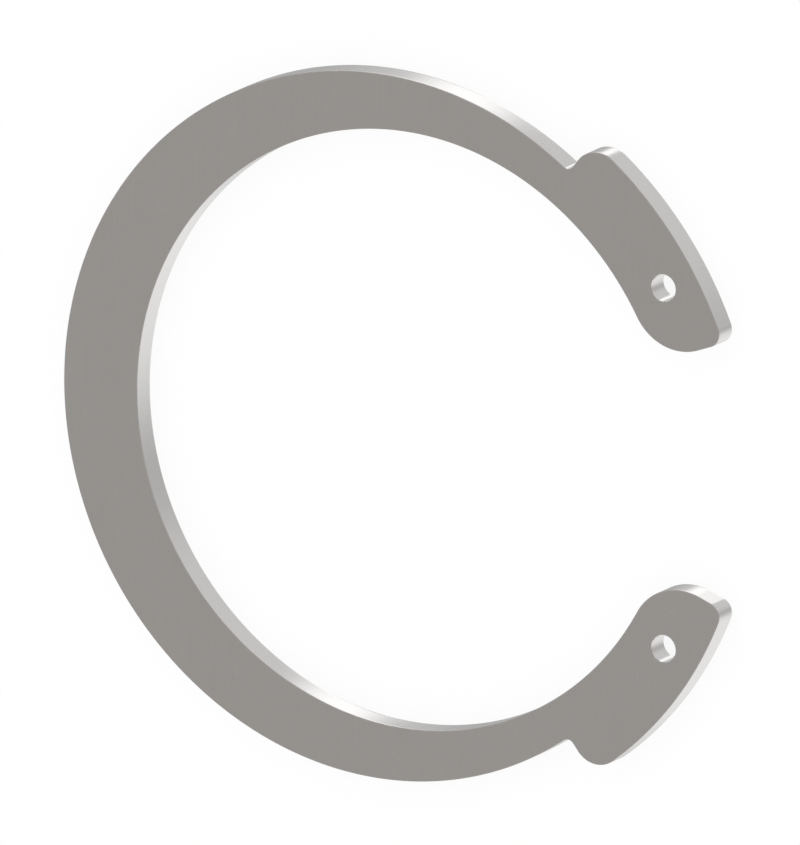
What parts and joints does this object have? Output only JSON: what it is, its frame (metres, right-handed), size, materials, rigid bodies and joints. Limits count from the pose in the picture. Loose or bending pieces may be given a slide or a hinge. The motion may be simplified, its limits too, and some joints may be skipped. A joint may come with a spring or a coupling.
{
  "type": "circlip retaining ring",
  "caption": "Flat spring-steel circlip for a housing groove: an open tapered ring with outward lugs that bear on the groove and a plier hole in each lug.",
  "frame": {"origin": "on the axis of the inner circle, at the lower face that the ring lies on", "axes": "+Z along the ring's axis, up through the thickness; +X from the axis to the middle of the gap between the lugs; the lugs mirror each other across the XZ plane"},
  "size_m": [0.087, 0.084, 0.003],
  "materials": {
    "spring_steel": "satin, as stamped and tumbled, with a light coat of oil"
  },
  "bodies": {
    "root": {"retaining_ring": "spring_steel"}
  },
  "joints": []
}
